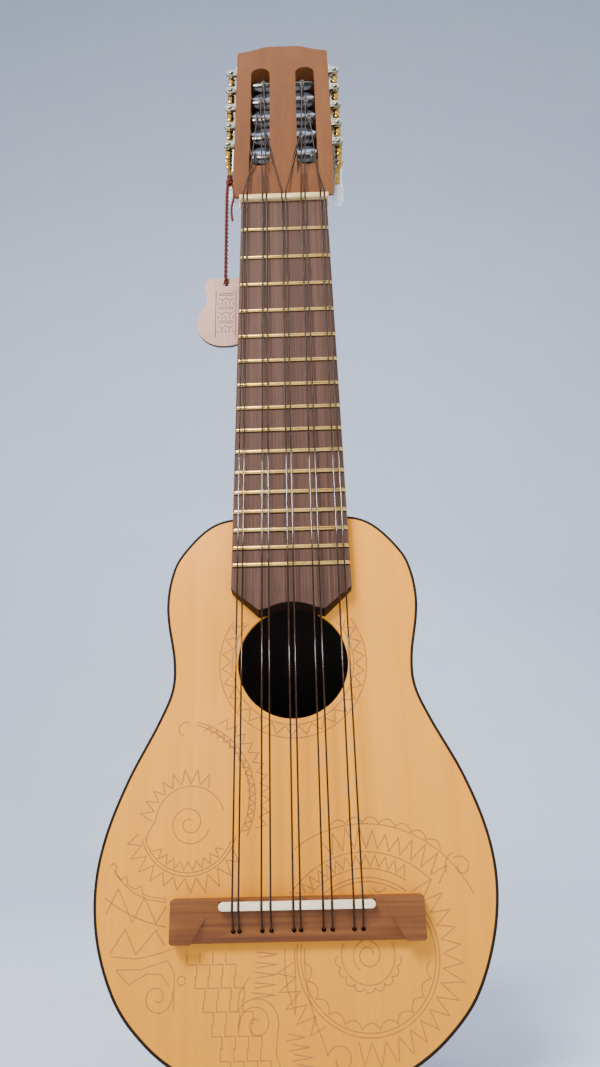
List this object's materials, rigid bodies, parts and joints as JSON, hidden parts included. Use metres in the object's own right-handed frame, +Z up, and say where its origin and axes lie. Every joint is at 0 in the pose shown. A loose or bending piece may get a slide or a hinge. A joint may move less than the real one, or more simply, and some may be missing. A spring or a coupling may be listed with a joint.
{
  "type": "charango",
  "caption": "Small lute-like charango with a rounded back, paired nylon strings, slotted head with geared tuners, sound hole, tie-through bridge and a hanging tag.",
  "frame": {"origin": "middle of the nut's fingerboard edge, at the neck's middle depth, where a hanger's yoke holds the neck under the head", "axes": "+Z up the neck to the head, -Y out of the soundboard towards the player's hand, +X to the right seen from the front"},
  "size_m": [0.1733, 0.0821, 0.6016],
  "materials": {
    "bowl_wood": "satin lacquer",
    "spruce_top": "satin lacquer",
    "edge_wood": "satin",
    "brace_wood": "raw",
    "neck_wood": "satin lacquer",
    "board_wood": "matte",
    "fret_metal": "polished",
    "nut_bone": "polished",
    "bridge_wood": "satin",
    "saddle_bone": "polished",
    "tag_wood": "raw",
    "cord_thread": "twisted",
    "plate_metal": "polished",
    "screw_metal": "polished",
    "string_nylon": "smooth",
    "gear_brass": "polished",
    "button_pearl": "pearl",
    "roller_metal": "polished"
  },
  "bodies": {
    "root": {"bowl": "bowl_wood", "soundboard": "spruce_top", "binding": "edge_wood", "soundboard_braces": "brace_wood", "neck_headstock": "neck_wood", "fretboard": "board_wood", "frets": "fret_metal", "nut": "nut_bone", "bridge": "bridge_wood", "saddle": "saddle_bone", "course_1": "string_nylon", "course_2": "string_nylon", "course_3": "string_nylon", "course_4": "string_nylon", "course_5": "string_nylon", "tuner_plate_left": "plate_metal", "tuner_plate_right": "plate_metal", "plate_screws": "screw_metal"},
    "key_1": {"worm_shaft_1": "gear_brass", "button_1": "button_pearl"},
    "post_1": {"roller_1": "roller_metal", "cog_1": "gear_brass"},
    "key_2": {"worm_shaft_2": "gear_brass", "button_2": "button_pearl"},
    "post_2": {"roller_2": "roller_metal", "cog_2": "gear_brass"},
    "key_3": {"worm_shaft_3": "gear_brass", "button_3": "button_pearl"},
    "post_3": {"roller_3": "roller_metal", "cog_3": "gear_brass"},
    "key_4": {"worm_shaft_4": "gear_brass", "button_4": "button_pearl"},
    "post_4": {"roller_4": "roller_metal", "cog_4": "gear_brass"},
    "key_5": {"worm_shaft_5": "gear_brass", "button_5": "button_pearl"},
    "post_5": {"roller_5": "roller_metal", "cog_5": "gear_brass"},
    "key_6": {"worm_shaft_6": "gear_brass", "button_6": "button_pearl"},
    "post_6": {"roller_6": "roller_metal", "cog_6": "gear_brass"},
    "key_7": {"worm_shaft_7": "gear_brass", "button_7": "button_pearl"},
    "post_7": {"roller_7": "roller_metal", "cog_7": "gear_brass"},
    "key_8": {"worm_shaft_8": "gear_brass", "button_8": "button_pearl"},
    "post_8": {"roller_8": "roller_metal", "cog_8": "gear_brass"},
    "key_9": {"worm_shaft_9": "gear_brass", "button_9": "button_pearl"},
    "post_9": {"roller_9": "roller_metal", "cog_9": "gear_brass"},
    "key_10": {"worm_shaft_10": "gear_brass", "button_10": "button_pearl"},
    "post_10": {"roller_10": "roller_metal", "cog_10": "gear_brass"},
    "hang_cord": {"tag_cord": "cord_thread"},
    "hang_tag": {"tag": "tag_wood"}
  },
  "joints": [
    {"name": "key_1_turn", "type": "hinge", "parent": "root", "child": "key_1", "pos_m": [-0.0342, 0.00516, 0.05338], "axis": [0, 0.9903, -0.1392], "continuous": true},
    {"name": "post_1_turn", "type": "hinge", "parent": "root", "child": "post_1", "pos_m": [-0.0342, 0.00398, 0.04496], "axis": [1, 0, 0], "continuous": true},
    {"name": "key_2_turn", "type": "hinge", "parent": "root", "child": "key_2", "pos_m": [-0.0342, 0.00772, 0.0716], "axis": [0, 0.9903, -0.1392], "continuous": true},
    {"name": "post_2_turn", "type": "hinge", "parent": "root", "child": "post_2", "pos_m": [-0.0342, 0.00654, 0.06318], "axis": [1, 0, 0], "continuous": true},
    {"name": "key_3_turn", "type": "hinge", "parent": "root", "child": "key_3", "pos_m": [-0.0342, 0.01028, 0.08982], "axis": [0, 0.9903, -0.1392], "continuous": true},
    {"name": "post_3_turn", "type": "hinge", "parent": "root", "child": "post_3", "pos_m": [-0.0342, 0.0091, 0.08141], "axis": [1, 0, 0], "continuous": true},
    {"name": "key_4_turn", "type": "hinge", "parent": "root", "child": "key_4", "pos_m": [-0.0342, 0.01284, 0.10804], "axis": [0, 0.9903, -0.1392], "continuous": true},
    {"name": "post_4_turn", "type": "hinge", "parent": "root", "child": "post_4", "pos_m": [-0.0342, 0.01166, 0.09963], "axis": [1, 0, 0], "continuous": true},
    {"name": "key_5_turn", "type": "hinge", "parent": "root", "child": "key_5", "pos_m": [-0.0342, 0.0154, 0.12626], "axis": [0, 0.9903, -0.1392], "continuous": true},
    {"name": "post_5_turn", "type": "hinge", "parent": "root", "child": "post_5", "pos_m": [-0.0342, 0.01422, 0.11785], "axis": [1, 0, 0], "continuous": true},
    {"name": "key_6_turn", "type": "hinge", "parent": "root", "child": "key_6", "pos_m": [0.0342, 0.00516, 0.05338], "axis": [0, 0.9903, -0.1392], "continuous": true},
    {"name": "post_6_turn", "type": "hinge", "parent": "root", "child": "post_6", "pos_m": [0.0342, 0.00398, 0.04496], "axis": [1, 0, 0], "continuous": true},
    {"name": "key_7_turn", "type": "hinge", "parent": "root", "child": "key_7", "pos_m": [0.0342, 0.00772, 0.0716], "axis": [0, 0.9903, -0.1392], "continuous": true},
    {"name": "post_7_turn", "type": "hinge", "parent": "root", "child": "post_7", "pos_m": [0.0342, 0.00654, 0.06318], "axis": [1, 0, 0], "continuous": true},
    {"name": "key_8_turn", "type": "hinge", "parent": "root", "child": "key_8", "pos_m": [0.0342, 0.01028, 0.08982], "axis": [0, 0.9903, -0.1392], "continuous": true},
    {"name": "post_8_turn", "type": "hinge", "parent": "root", "child": "post_8", "pos_m": [0.0342, 0.0091, 0.08141], "axis": [1, 0, 0], "continuous": true},
    {"name": "key_9_turn", "type": "hinge", "parent": "root", "child": "key_9", "pos_m": [0.0342, 0.01284, 0.10804], "axis": [0, 0.9903, -0.1392], "continuous": true},
    {"name": "post_9_turn", "type": "hinge", "parent": "root", "child": "post_9", "pos_m": [0.0342, 0.01166, 0.09963], "axis": [1, 0, 0], "continuous": true},
    {"name": "key_10_turn", "type": "hinge", "parent": "root", "child": "key_10", "pos_m": [0.0342, 0.0154, 0.12626], "axis": [0, 0.9903, -0.1392], "continuous": true},
    {"name": "post_10_turn", "type": "hinge", "parent": "root", "child": "post_10", "pos_m": [0.0342, 0.01422, 0.11785], "axis": [1, 0, 0], "continuous": true},
    {"name": "cord_swing", "type": "hinge", "parent": "root", "child": "hang_cord", "pos_m": [-0.0342, 0.0215, 0.05108], "axis": [0, 0.9903, -0.1392], "range_deg": [-50, 50]},
    {"name": "tag_swing", "type": "hinge", "parent": "hang_cord", "child": "hang_tag", "pos_m": [-0.037, 0.0212, -0.033], "axis": [0, 1, 0], "range_deg": [-45, 45]}
  ],
  "couplings": [
    {"joint": "post_1_turn", "follows": "key_1_turn", "ratio": -0.071429},
    {"joint": "post_2_turn", "follows": "key_2_turn", "ratio": -0.071429},
    {"joint": "post_3_turn", "follows": "key_3_turn", "ratio": -0.071429},
    {"joint": "post_4_turn", "follows": "key_4_turn", "ratio": -0.071429},
    {"joint": "post_5_turn", "follows": "key_5_turn", "ratio": -0.071429},
    {"joint": "post_6_turn", "follows": "key_6_turn", "ratio": 0.071429},
    {"joint": "post_7_turn", "follows": "key_7_turn", "ratio": 0.071429},
    {"joint": "post_8_turn", "follows": "key_8_turn", "ratio": 0.071429},
    {"joint": "post_9_turn", "follows": "key_9_turn", "ratio": 0.071429},
    {"joint": "post_10_turn", "follows": "key_10_turn", "ratio": 0.071429}
  ]
}
